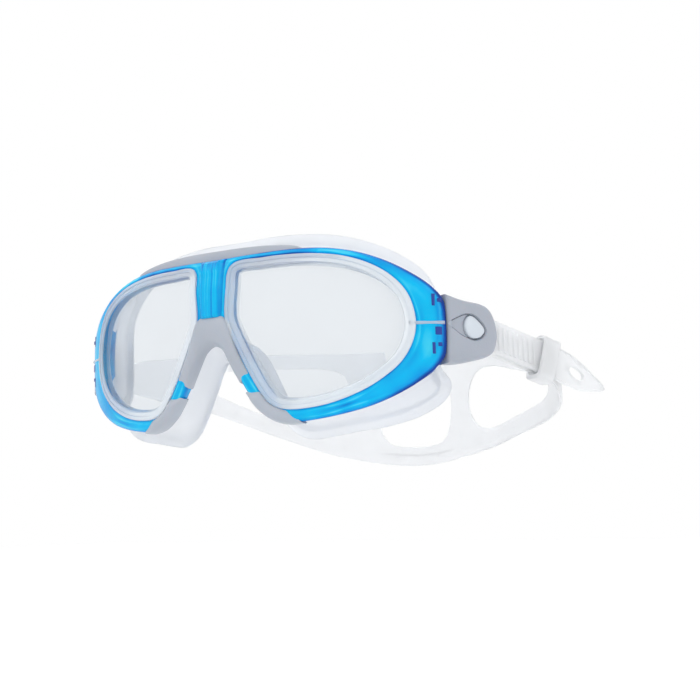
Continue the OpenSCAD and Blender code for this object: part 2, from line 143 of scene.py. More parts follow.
def distance(points, line, closed=True):
    """How far each point is from a line."""
    a, b = (line, np.roll(line, -1, 0)) if closed else (line[:-1], line[1:])
    ap = points[:, None, :] - a[None]
    ab = b - a
    t = np.clip((ap * ab).sum(-1) / np.maximum((ab * ab).sum(-1), 1e-12), 0, 1)
    return np.linalg.norm(ap - t[..., None] * ab, axis=-1).min(1)


def turns(n):
    """n angles spread evenly round a circle."""
    return np.linspace(0, 2 * math.pi, n + 1)[:-1]


def unit(angles):
    return np.stack([np.cos(angles), np.sin(angles)], 1)


def cast(centre, angles, loop, closed=True):
    """How far a ray at each angle goes from centre before it leaves a star-shaped outline."""
    a = loop - centre
    b = np.roll(a, -1, 0)
    if not closed:
        a, b = a[:-1], b[:-1]
    d = unit(angles)[:, None, :]
    e = (b - a)[None]
    den = d[..., 0] * e[..., 1] - d[..., 1] * e[..., 0]
    den = np.where(np.abs(den) < 1e-12, 1e-12, den)
    t = (a[None, :, 0] * e[..., 1] - a[None, :, 1] * e[..., 0]) / den
    u = (a[None, :, 0] * d[..., 1] - a[None, :, 1] * d[..., 0]) / den
    ok = (u >= -1e-6) & (u <= 1 + 1e-6) & (t > 0)
    return np.where(ok, t, 0).max(1)


def rounding(d, radius, depth):
    """Drop of a rounded edge at distance d from it."""
    s = np.clip(1 - d / radius, 0, 1)
    return depth * (1 - np.sqrt(1 - s * s))


FRONT_BEND, BACK_BEND, LENS_BEND = 132, 114, 118  # radii of the mask's curve, seen from above
BACK_STOP = 79.5  # the back follows its curve only this far out


def wrap(x, r):
    """How far a curve of radius r has fallen back at x."""
    x = np.minimum(np.abs(x), 0.999 * r)
    return r - np.sqrt(r * r - x * x)


def roll_back(z):
    """How far the forehead side leans back at height z."""
    return 2.6 * np.clip((z - 14) / 15, 0, 1.6) ** 2


def front_y(x, z):
    return -20 + wrap(x, FRONT_BEND) + roll_back(z)


def back_y(x, z):
    return -14 + wrap(np.minimum(np.abs(x), BACK_STOP), BACK_BEND) + 0.6 * roll_back(z)


def lens_y(x, z):
    return -19 + wrap(x, LENS_BEND) + roll_back(z)


def lay(p, surface, lift=0):
    """Flat points (x, z) laid on a surface, lift behind it."""
    return np.stack([p[:, 0], surface(p[:, 0], p[:, 1]) + lift, p[:, 1]], 1)


def temple_limit(x):
    """The deepest y that the frame reaches where the clip's front face crosses it."""
    return PIN[1] + (2.85 - (np.abs(x) - PIN[0]) * math.cos(CLIP_TURN)) / math.sin(CLIP_TURN)


def clip_xyz(side, u, w, z):
    """A point of the clip: u runs from the pin along the clip, w towards the head."""
    c, s = math.cos(CLIP_TURN), math.sin(CLIP_TURN)
    u, w, z = np.broadcast_arrays(np.asarray(u, float), np.asarray(w, float), np.asarray(z, float))
    return np.stack([side * (PIN[0] + u * c - w * s), PIN[1] + u * s + w * c, z], -1)


def run_z(u, side):
    """The height of the strap's middle, which falls once it is past the clip."""
    return STRAP_Z - FALL[side] * np.maximum(0, np.asarray(u, float) - RUN_BEND)


# -------- meshes
WELD = 0.004  # points closer than this become one


class Shell:
    """Collects points and faces of one piece."""

    def __init__(self):
        self.points, self.faces, self.count = [], [], 0

    def add(self, points):
        points = np.array(points, float).reshape(-1, 3)
        start = self.count
        self.points.append(points)
        self.count += len(points)
        return start

    def loft(self, rings, closed=True, cap_first=False, cap_last=False):
        n = len(rings[0])
        starts = [self.add(r) for r in rings]
        for a, b in zip(starts, starts[1:]):
            for i in range(n if closed else n - 1):
                j = (i + 1) % n
                self.faces.append((a + i, a + j, b + j, b + i))
        if cap_first:
            self.faces.append(tuple(range(starts[0] + n - 1, starts[0] - 1, -1)))
        if cap_last:
            self.faces.append(tuple(range(starts[-1], starts[-1] + n)))
        return starts

    def fan(self, ring_start, n, tip, flip=False):
        t = self.add([tip])
        for i in range(n):
            j = (i + 1) % n
            a, b = ring_start + i, ring_start + j
            self.faces.append((b, a, t) if flip else (a, b, t))

    def mirrored(self):
        pts = np.vstack(self.points) * [-1, 1, 1]
        start = self.count
        faces = [tuple(start + k for k in reversed(f)) for f in self.faces]
        self.add(pts)
        self.faces += faces
        return self

    def build(self, name, material, sharp):
        mesh = bpy.data.meshes.new(name)
        pts = np.vstack(self.points) * MM
        mesh.from_pydata([tuple(p) for p in pts], [], self.faces)
        bm = bmesh.new()
        bm.from_mesh(mesh)
        bmesh.ops.remove_doubles(bm, verts=bm.verts, dist=WELD * MM)
        bmesh.ops.dissolve_degenerate(bm, edges=bm.edges, dist=WELD * MM * 0.5)
        bmesh.ops.recalc_face_normals(bm, faces=bm.faces)
        bm.to_mesh(mesh)
        bm.free()
        mesh.polygons.foreach_set("use_smooth", [True] * len(mesh.polygons))
        mesh.set_sharp_from_angle(angle=math.radians(sharp))
        mesh.materials.append(material)
        obj = bpy.data.objects.new(name, mesh)
        bpy.context.scene.collection.objects.link(obj)
        return obj


def slab(shell, outline, place, low, high, fillet):
    """A closed outline drawn out from low to high with rounded rims; place puts (a, b, height) in space."""
    centre = outline.mean(0)
    rings = []
    steps = [(1, 0), (0.62, 0.13), (0.29, 0.38), (0, 1)]
    for inset, lift in steps:
        p = grow(outline, -fillet * inset)
        rings.append(place(p[:, 0], p[:, 1], np.full(len(p), low + fillet * lift)))
    for inset, lift in reversed(steps):
        p = grow(outline, -fillet * inset)
        rings.append(place(p[:, 0], p[:, 1], np.full(len(p), high - fillet * lift)))
    starts = shell.loft(rings)
    n = len(outline)
    for start, height, flip in ((starts[0], low, True), (starts[-1], high, False)):
        shell.fan(start, n, place(centre[0], centre[1], height), flip)


# -------- materials
def add_node(nt, kind, **inputs):
    """A new shader node with constant values on its inputs."""
    node = nt.nodes.new("ShaderNode" + kind)
    for key, value in inputs.items():
        node.inputs[key.replace("_", " ")].default_value = value
    return node


def set_ramp(ramp, stops):
    """Gives a colour ramp its (position, colour) stops, in rising order."""
    elements = ramp.color_ramp.elements
    elements[0].position, elements[0].color = stops[0][0], (*stops[0][1], 1)
    elements[1].position, elements[1].color = stops[-1][0], (*stops[-1][1], 1)
    for position, colour in stops[1:-1]:
        elements.new(position).color = (*colour, 1)


def material(name, colour, rough, bump_scale, bump, vary, **sockets):
    """A Principled material with a fine bump, whose colour and roughness drift a little."""
    m = bpy.data.materials.new(name)
    m.use_nodes = True
    nt = m.node_tree
    shader = nt.nodes["Principled BSDF"]
    coords = add_node(nt, "TexCoord")
    shader.inputs["Base Color"].default_value = (*colour, 1)
    shader.inputs["Roughness"].default_value = rough
    for key, value in sockets.items():
        shader.inputs[key.replace("_", " ")].default_value = value
    if vary:
        cloud = add_node(nt, "TexNoise", Scale=60, Detail=3)
        nt.links.new(coords.outputs["Object"], cloud.inputs["Vector"])
        ramp = add_node(nt, "ValToRGB")
        set_ramp(ramp, [(0.3, [max(0, c * (1 - vary)) for c in colour]),
                        (0.7, [min(1, c * (1 + vary)) for c in colour])])
        nt.links.new(cloud.outputs["Fac"], ramp.inputs["Fac"])
        nt.links.new(ramp.outputs["Color"], shader.inputs["Base Color"])
        span = add_node(nt, "MapRange", To_Min=max(0, rough - 0.05), To_Max=rough + 0.05)
        nt.links.new(cloud.outputs["Fac"], span.inputs["Value"])
        nt.links.new(span.outputs["Result"], shader.inputs["Roughness"])
    grain = add_node(nt, "TexNoise", Scale=bump_scale, Detail=4)
    nt.links.new(coords.outputs["Object"], grain.inputs["Vector"])
    relief = add_node(nt, "Bump", Strength=bump, Distance=0.0002)
    nt.links.new(grain.outputs["Fac"], relief.inputs["Height"])
    nt.links.new(relief.outputs["Normal"], shader.inputs["Normal"])
    return m


def absorb(m, colour, density):
    """Lets the body of the material take up light, so that thick parts look deeper."""
    nt = m.node_tree
    volume = add_node(nt, "VolumeAbsorption", Color=(*colour, 1), Density=density)
    nt.links.new(volume.outputs["Volume"], nt.nodes["Material Output"].inputs["Volume"])
    return m


def colour_by_painted_light(m, stops):
    """Colours the material by the painted light and shade stored on the mesh, from painted shade at the
    rims to bright faces, with faint random streaks.
    """
    nt = m.node_tree
    shader = nt.nodes["Principled BSDF"]
    painted_light_and_shade = add_node(nt, "Attribute")
    painted_light_and_shade.attribute_name = "painted_light_and_shade"
    coords = add_node(nt, "TexCoord")
    streak = add_node(nt, "TexNoise", Scale=70, Detail=3)
    nt.links.new(coords.outputs["Object"], streak.inputs["Vector"])
    shift = add_node(nt, "MapRange", To_Min=-0.24, To_Max=0.24)
    nt.links.new(streak.outputs["Fac"], shift.inputs["Value"])
    add = add_node(nt, "Math")
    add.operation = "ADD"
    nt.links.new(painted_light_and_shade.outputs["Fac"], add.inputs[0])
    nt.links.new(shift.outputs["Result"], add.inputs[1])
    ramp = add_node(nt, "ValToRGB")
    set_ramp(ramp, stops)
    nt.links.new(add.outputs["Value"], ramp.inputs["Fac"])
    nt.links.new(ramp.outputs["Color"], shader.inputs["Base Color"])
    return m


# The blue plastic's ramp runs from navy painted shade up to pale cyan painted highlight, driven by the
# stored painted light and shade.
blue = colour_by_painted_light(absorb(material("blue_plastic", (0.005, 0.5, 0.9), 0.09, 900, 0.04, 0,
                             Transmission_Weight=0.25, IOR=1.45, Specular_IOR_Level=0.1),
                    (0.05, 0.85, 0.98), 120),
             [(0.0, (0.001, 0.045, 0.32)), (0.22, (0.001, 0.17, 0.62)), (0.45, (0.001, 0.37, 0.86)),
              (0.75, (0.001, 0.58, 0.97)), (1.0, (0.10, 0.80, 1.0))])
navy = material("hinge_blue", (0.004, 0.035, 0.27), 0.25, 700, 0.1, 0.1)
clear = material("clear_lens", (0.82, 0.85, 0.88), 0.02, 300, 0.02, 0.008,
                 Transmission_Weight=0.9, IOR=1.2)
lens_rim = material("frosted_lens_rim", (0.81, 0.855, 0.90), 0.18, 500, 0.05, 0.03,
                    Transmission_Weight=0.55, IOR=1.25)
# The clips' own grey, also given to the brow moulding as a darker copy of soft_grey: painted shade.
clip_grey_and_brow_shade = material("clip_grey_and_brow_shade", (0.35, 0.38, 0.44), 0.42, 1500, 0.25, 0.04,
                     Subsurface_Weight=0.1, Subsurface_Scale=0.002)
soft_grey = material("soft_grey", (0.385, 0.42, 0.48), 0.42, 1500, 0.25, 0.04,
                     Subsurface_Weight=0.1, Subsurface_Scale=0.002)
silicone = material("frosted_silicone", (0.90, 0.92, 0.95), 0.4, 1200, 0.15, 0.015,
                    Transmission_Weight=0.65, IOR=1.25)
strap_clear = material("strap_silicone", (0.93, 0.94, 0.955), 0.35, 1200, 0.15, 0.015,
                       Transmission_Weight=0.5, IOR=1.3)
insert_white = material("insert_white", (0.70, 0.76, 0.83), 0.3, 1000, 0.15, 0.02,
                        Transmission_Weight=0.2, IOR=1.45)
steel = material("steel_pin", (0.6, 0.61, 0.63), 0.28, 800, 0.1, 0.05, Metallic=1.0)


def finish_piece(obj, body, slot, *nodes):
    """Ties a piece to its body and hides the CAD nodes that it stands for. The slot argument is not used.
    """
    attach(obj, body)
    if nodes:
        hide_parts(*nodes)
    return obj


# -------- frame
LENS_CENTRE = np.array([37.0, 0.0])
LENS_GAP = 1.25  # how far the frame's opening stands off the lens line
OUTLINE_STEPS = 10
frame_line = catmull(mirrored_whole(FRAME_HALF), OUTLINE_STEPS)
frame_side = np.vstack([frame_line[:OUTLINE_STEPS * (len(FRAME_HALF) - 1) + 1], [[0, 4], [0, 12], [0, 20]]])
lens_line = even(catmull(LENS_LOOP, 12), 220)
lens_hole = grow(lens_line, LENS_GAP)


def frame_painted_light(x, y, z):
    """Painted light and shade on the frame: bright on the front face, painted shade at the rims, deepest
    painted shade on the side walls and in the temple ends, with painted highlight and shade lines.
    """
    flat = np.stack([np.abs(x), z], 1)
    edge = distance(flat, frame_line)
    hole = distance(flat, lens_line) - LENS_GAP
    depth = np.clip((y - front_y(x, z)) / 5, 0, 1)
    swing = np.arctan2(z, np.abs(x) - LENS_CENTRE[0])
    # Painted shade along the outer rim and round the lens opening.
    painted_light_and_shade = 0.68 - 0.36 * np.clip(1 - edge / 1.0, 0, 1) - 0.30 * np.exp(-((hole - 0.45) / 0.4) ** 2)
    # Painted reflections: slow ripples of light and shade round the lens.
    painted_light_and_shade += 0.05 * np.sin(5 * swing + 1.3) + 0.04 * np.sin(13 * swing + 0.4 * x)
    # Lines along the rims: positive amounts are painted highlights, negative amounts painted shade.
    highlight_and_shade_lines = [(edge, 1.3, 0.32, 0.2), (edge, 2.2, 0.6, -0.17), (edge, 4.2, 1.6, 0.08),
               (hole, 1.5, 0.32, 0.2), (hole, 2.4, 0.6, -0.15)]
    for line, centre, width, amount in highlight_and_shade_lines:
        wander = 0.35 * np.sin((6 + centre) * swing + 2 * centre)
        strength = 0.55 + 0.45 * np.sin((4 + centre) * swing + centre)
        painted_light_and_shade += amount * strength * np.exp(-((line - centre - wander) / width) ** 2)
    # Painted shade on the side walls, on the rims towards the temples and in the temple ends.
    painted_light_and_shade -= 0.22 * depth + 0.35 * np.clip(1 - edge / 2.2, 0, 1) * np.clip((np.abs(x) - 56) / 12, 0, 1)
    painted_light_and_shade -= 0.16 * np.clip((np.abs(x) - 75.6) / 3, 0, 1)
    # Darker along the top in the middle.
    painted_light_and_shade -= 0.10 * np.clip((z - 24) / 4, 0, 1) * (np.abs(x) < 40)
    return painted_light_and_shade


BAR_FOOT, BAR_TOP = 6.2, 28.0
BAR_RIB_PITCH = 1.15


def bar_half(z):
    """Half the centre bar's width at height z."""
    return np.interp(z, [BAR_FOOT, BAR_TOP], [4.75, 5.85])


def bar_painted_light(x, y, z):
    """Painted light and shade on the bar: bright between the bevels, painted shade on the bevels, a painted
    ripple of light and shade over the fine ribs, two dark lines and a darker top.
    """
    half = bar_half(z)
    side = np.abs(x) / half
    # Painted shade on the bevels, and painted light and shade that follow the ribs.
    painted_light_and_shade = 0.72 - 0.34 * np.clip((side - 0.62) / 0.3, 0, 1) + 0.07 * np.cos(x * 2 * math.pi / BAR_RIB_PITCH)
    painted_light_and_shade -= 0.30 * np.exp(-((x - 1.6) / 0.5) ** 2) + 0.16 * np.exp(-((x + 2.6) / 0.4) ** 2)
    return painted_light_and_shade - 0.35 * np.clip((z - 23.5) / 2.5, 0, 1) * (0.5 + 0.5 * np.cos(x * 2.1))


def store_painted_light(obj, rule):
    """Stores the painted light and shade at each point of the mesh, for the blue plastic."""
    co = np.array([v.co for v in obj.data.vertices], float) / MM
    attribute = obj.data.attributes.new("painted_light_and_shade", "FLOAT", "POINT")
    attribute.data.foreach_set("value", rule(co[:, 0], co[:, 1], co[:, 2]).astype(np.float32))


def make_frame():
    """The blue rim: half is lofted round a lens opening, left open on the middle line, and mirrored."""
    corners = [math.atan2(FRAME_HALF[0][1], -LENS_CENTRE[0]),
               math.atan2(FRAME_HALF[-1][1], -LENS_CENTRE[0]) + 2 * math.pi]
    angles = np.sort(np.r_[turns(240), corners])
    outer = cast(LENS_CENTRE, angles, frame_side)
    inner = cast(LENS_CENTRE, angles, lens_hole)
    direction = unit(angles)
    squeeze = np.minimum(1, (outer - inner) / 7.5)
    border = 3.2
    steps = (0, 0.12, 0.35, 0.7, 1.0, 1.25, 1.5, 1.8, 2.15, 2.6, border)
    rings = [outer - squeeze * step for step in steps]
    for share in (0.35, 0.7):
        rings.append((outer - border * squeeze) * (1 - share) + (inner + border * squeeze) * share)
    rings += [inner + squeeze * step for step in (border, 2.6, 2.15, 1.8, 1.5, 1.2, 0.85, 0.5, 0.2, 0)]
    flat = [LENS_CENTRE + direction * r[:, None] for r in rings]
    shell = Shell()
    front_rings, back_rings = [], []
    draft = 2.4 * squeeze * np.clip((LENS_CENTRE[0] + direction[:, 0] * outer) / 14, 0, 1)
    shrink = 1 - draft / (outer - inner)
    for p, r in zip(flat, rings):
        edge = distance(p, frame_line)
        hole = distance(p, lens_hole)
        x, z = p[:, 0], p[:, 1]
        crown = -0.35 * np.sin(np.pi * np.clip(edge / np.maximum(edge + hole, 1e-6), 0, 1))
        y = front_y(x, z) + rounding(edge, 1.7, 1.5) + 0.4 * rounding(hole, 0.5, 1) + crown
        front_rings.append(np.stack([x, np.minimum(y, temple_limit(x)), z], 1))
        q = LENS_CENTRE + direction * (inner + (r - inner) * shrink)[:, None]
        x, z = q[:, 0], q[:, 1]
        y = back_y(x, z) - rounding(edge, 1.0, 0.9)
        back_rings.append(np.stack([x, np.minimum(y, temple_limit(x)), z], 1))
    n = len(angles)
    front = shell.loft(front_rings)
    back = shell.loft(back_rings)
    middle = (angles > corners[0] - 1e-9) & (angles < corners[1] + 1e-9)
    for i in range(n):
        j = (i + 1) % n
        if not (middle[i] and middle[j]):
            shell.faces.append((front[0] + i, front[0] + j, back[0] + j, back[0] + i))
        shell.faces.append((front[-1] + i, front[-1] + j, back[-1] + j, back[-1] + i))
    obj = shell.mirrored().build("frame_shell", blue, 35)
    store_painted_light(obj, frame_painted_light)
    return finish_piece(obj, "mask", "blue", "frame")


def make_bar():
    """The proud, bevelled bar between the lenses, with fine upright ribs and a block at its top."""
    shell = Shell()
    levels = np.r_[BAR_FOOT, 6.6, 7.2, np.linspace(8.5, 25.5, 18), 26.6, 27.4, BAR_TOP]
    rings = []
    for z in levels:
        half = bar_half(z)
        top = np.interp(z, [BAR_FOOT, 6.6, 7.2, 26.6, 27.4, BAR_TOP], [0.2, 0.75, 1, 1, 0.75, 0.3])
        block = 0.5 * np.clip((z - 22.2) / 0.8, 0, 1) * np.clip((BAR_TOP - z) / 0.8, 0, 1)
        row = []
        for share in np.r_[-1, -1, np.linspace(-0.88, 0.88, 45), 1, 1]:
            x = share * half
            edge = half - abs(x)
            lift = np.interp(edge, [0, 0.5, 1.5, 2.0], [0.1, 0.5, 1.75, 2.0])
            ribs = 0.12 * max(0, math.cos(x * 2 * math.pi / BAR_RIB_PITCH)) * (abs(x) < half - 2.1)
            lift += ribs + block * (abs(x) < half - 1.9)
            row.append([x, front_y(x, z) - lift * top, z])
        row[0][1] = front_y(row[0][0], z) + 0.5
        row[-1][1] = front_y(row[-1][0], z) + 0.5
        rings.append(np.array(row))
    shell.loft(rings, cap_first=True, cap_last=True)
    obj = shell.build("centre_bar", blue, 30)
    store_painted_light(obj, bar_painted_light)
    return finish_piece(obj, "mask", "blue")


def make_hinge_marks(side):
    """The dark hinge room seen through the temple end of the frame."""
    shell = Shell()
    marks = [(10.2, 6.0, 76.4, 77.3), (8.6, 7.3, 78.0, 79.1), (-1.4, -4.2, 77.2, 79.0),
             (-6.8, -10.8, 76.2, 77.1), (-6.9, -8.2, 77.9, 78.9)]
    for z0, z1, x0, x1 in marks:
        box = np.array([[x0, z0], [x1, z0], [x1, z1], [x0, z1]], float)
        outline = even(box, 24)
        slab(shell, outline,
             lambda a, b, h: np.stack(np.broadcast_arrays(side * a, front_y(a, b) + h, b), -1),
             -0.4, 0.8, 0.12)
    return finish_piece(shell.build("hinge_marks_" + BODY[side], navy, 50), "mask", "blue")


# -------- lenses
LENS_SHARES = (1, 0.86, 0.7, 0.52, 0.34, 0.16)  # rings of the clear panel, from its border inwards
LENS_T = 2


def make_lens(side):
    """A clear panel with a stepped, frosted border and the tab that runs to the temple."""
    steps = [(1.5, 0.9), (1.5, -0.25), (1.35, -0.6), (1.05, -0.78), (0.25, -0.86), (0.02, -0.78),
             (-0.12, -0.45), (-1.25, -0.4), (-1.45, -0.3), (-1.9, 0.35)]
    rings = [lay(grow(lens_line, offset), front_y, lift) for offset, lift in steps]
    inner = grow(lens_line, -2.7) - LENS_CENTRE
    rings += [lay(LENS_CENTRE + inner * share, lens_y) for share in LENS_SHARES]
    shell = Shell()
    n = len(lens_line)
    starts = shell.loft(rings)
    middle_x, middle_y = LENS_CENTRE[0], lens_y(LENS_CENTRE[0], 0.0)
    shell.fan(starts[-1], n, [middle_x, middle_y, 0])
    back = [lay(LENS_CENTRE + inner * share, lens_y, LENS_T) for share in LENS_SHARES[::-1]]
    back += [lay(grow(lens_line, steps[0][0]), front_y, 3.0), rings[0]]
    starts = shell.loft(back)
    shell.fan(starts[0], n, [middle_x, middle_y + LENS_T, 0], flip=True)
    # The thin clear tab that runs from the lens' outer corner to the temple end.
    xs = np.linspace(69.6, 79.75, 14)
    profile = [(-0.62, 0.5), (-0.55, -0.15), (-0.3, -0.42), (0.3, -0.42), (0.55, -0.15), (0.62, 0.5)]
    tab = [np.array([[x, front_y(x, 0.0) + lift - 0.1, 0.1 + dz] for dz, lift in profile]) for x in xs]
    shell.loft(tab, cap_first=True, cap_last=True)
    for pts in shell.points:
        pts[:, 0] *= side
    obj = shell.build("lens_panel_" + BODY[side], clear, 30)
    obj.data.materials.append(lens_rim)
    centres = np.array([p.center for p in obj.data.polygons]) / MM
    flat = np.stack([np.abs(centres[:, 0]), centres[:, 2]], 1)
    rim = (distance(flat, lens_line) < 1.95) | (flat[:, 0] > 70.6)
    obj.data.polygons.foreach_set("material_index", rim.astype(np.int32))
    return finish_piece(obj, "mask", "lens", "lens_" + BODY[side])


# -------- grips
# The nose moulding's section: share of the way from lens side to nose side, and lift behind the front.
GRIP_PROFILE = [(-0.04, 0.8), (-0.03, 0.0), (0.0, -0.55), (0.07, -1.0), (0.2, -1.45), (0.4, -1.75),
                (0.6, -1.7), (0.8, -1.3), (0.9, -0.7), (0.97, 0.3), (1.02, 1.6), (1.04, 3.0),
                (0.98, 4.0), (0.8, 4.2)]


def grip_strip(shell, first, last, count, fade_first, fade_last):
    """A soft moulding over the nose edge between two stations, which are (lens side, nose side) pairs."""
    steps = 8
    lens_side = catmull(mirror_arch(GRIP_LENS_SIDE), steps, closed=False)
    nose_side = catmull(mirror_arch(GRIP_NOSE_SIDE), steps, closed=False)
    stations = np.arange(len(lens_side)) / steps - (len(GRIP_LENS_SIDE) - 1)
    rings = []
    for i in range(count + 1):
        share = i / count
        ease = 1.0
        if fade_first:
            ease = min(ease, math.sin(min(1, share * fade_first) * math.pi / 2))
        if fade_last:
            ease = min(ease, math.sin(min(1, (1 - share) * fade_last) * math.pi / 2))
        row = []
        for across, lift in GRIP_PROFILE:
            a = min(max(across, 0), 1)
            s0 = first[0] * (1 - a) + first[1] * a
            s1 = last[0] * (1 - a) + last[1] * a
            s = s0 + (s1 - s0) * share
            outer = np.array([np.interp(s, stations, lens_side[:, k]) for k in (0, 1)])
            inner = np.array([np.interp(s, stations, nose_side[:, k]) for k in (0, 1)])
            outer += 0.15 * min(1, max(0, (abs(s) - 1.5) / 2)) * (inner - outer)
            p = outer + across * (inner - outer)
            rise = lift * ease if lift < 0 else lift
            row.append([p[0], front_y(p[0], p[1]) + rise + 0.12 * (1 - ease), p[1]])
        rings.append(np.array(row))
    shell.loft(rings, cap_first=True, cap_last=True)


def mirror_arch(side_points):
    """The whole arch from its +X half."""
    side_points = np.asarray(side_points, float)
    return np.vstack([(side_points * [-1, 1])[:0:-1], side_points])


def make_nose_grip():
    """The arch over the nose, and a strip below a blue gap on each side."""
    shell = Shell()
    grip_strip(shell, (-5.9, -4.75), (5.9, 4.75), 72, 9, 9)
    for side in (-1, 1):
        grip_strip(shell, (side * 6.75, side * 5.7), (side * 9.3, side * 10), 30, 5, 3)
    obj = shell.build("nose_moulding", soft_grey, 45)
    return finish_piece(obj, "mask", "soft_grey", "nose_grip")


def make_brow_grip():
    """The grey strip that lies over the top edge of the frame and thins out at both ends."""
    first, last = -41, 33
    top = np.vstack([frame_line[-150:], frame_line[:150]])
    top = top[top[:, 1] > 20]
    top = top[np.argsort(top[:, 0])]
    shell = Shell()
    rings = []
    for x in np.linspace(first, last, 75):
        z = np.interp(x, top[:, 0], top[:, 1])
        taper = math.sin(math.pi * min(1, max(0, (x - first) / (last - first)))) ** 0.45
        rise = 3.4 * taper + 0.1
        front, back = front_y(x, z), back_y(x, z)
        profile = [(front + 1.6, -1.2), (front + 0.6, -0.35), (front + 0.75, 0.45 * rise),
                   (front + 1.3, 0.8 * rise), (front + 2.3, rise), (back - 0.6, rise * 1.05),
                   (back + 0.4, rise * 0.7), (back + 0.4, -1.2)]
        rings.append(np.array([[x, y, z + dz] for y, dz in profile]))
    shell.loft(rings, cap_first=True, cap_last=True)
    # Painted shade: the brow takes the darker clip grey instead of soft_grey, to offset the extra light on
    # its upward face.
    obj = shell.build("brow_moulding", clip_grey_and_brow_shade, 50)
    return finish_piece(obj, "mask", "soft_grey", "brow_grip")


# -------- skirt
def make_skirt():
    """One soft wall from the frame to the face, round the seal's lip and back inside."""
    root = catmull(mirrored_whole(SKIRT_ROOT), 6)
    seal = catmull(mirrored_whole(SKIRT_SEAL), 6)
    shell = Shell()

    def ring(t, offset, deep, extra):
        """t and deep go from root to seal in the outline and in depth; offset and extra move it off."""
        line = grow(root + (seal - root) * t, offset)
        for _ in range(int(2 * abs(offset))):
            line = 0.5 * line + 0.25 * (np.roll(line, 1, 0) + np.roll(line, -1, 0))
        x, z = line[:, 0], line[:, 1]
        start = -13.9 + wrap(np.minimum(np.abs(x), 79), BACK_BEND) + 0.6 * roll_back(z) * (1 - deep)
        face = wrap(x, FRONT_BEND) * 0.93
        return np.stack([x, start + (face - start) * deep + extra, z], 1)

    rings = [ring(*r) for r in (
        (0, 1.6, 0, 0), (0.02, 1.6, 0.1, 0), (0.1, 1.4, 0.22, 0), (0.26, 1.1, 0.4, 0),
        (0.45, 0.9, 0.56, 0), (0.66, 0.8, 0.7, 0), (0.84, 0.7, 0.82, 0), (0.96, 0.6, 0.93, -0.4),
        (1, 0.45, 1, -0.9), (1.01, 0.1, 1, -0.4), (1.01, -0.5, 1, 0), (1, -1.4, 1, 0.15),
        (1, -2.6, 1, 0.5), (1, -3.6, 1, 0.75), (1, -4.3, 1, 0.8), (1, -4.6, 1, 0.4),
        (1, -4.4, 1, -0.1), (1, -3.8, 1, -0.6), (1, -3.0, 1, -1.2), (0.97, -2.2, 0.96, -1.6),
        (0.88, -1.6, 0.86, -0.6), (0.7, -1, 0.72, 0), (0.45, -0.6, 0.54, 0), (0.2, -0.5, 0.34, 0),
        (0.02, -0.6, 0.12, 0), (0, -0.8, 0, 0))]
    rings.append(rings[0])
    shell.loft(rings)
    return finish_piece(shell.build("face_skirt", silicone, 60), "mask", "silicone", "skirt")


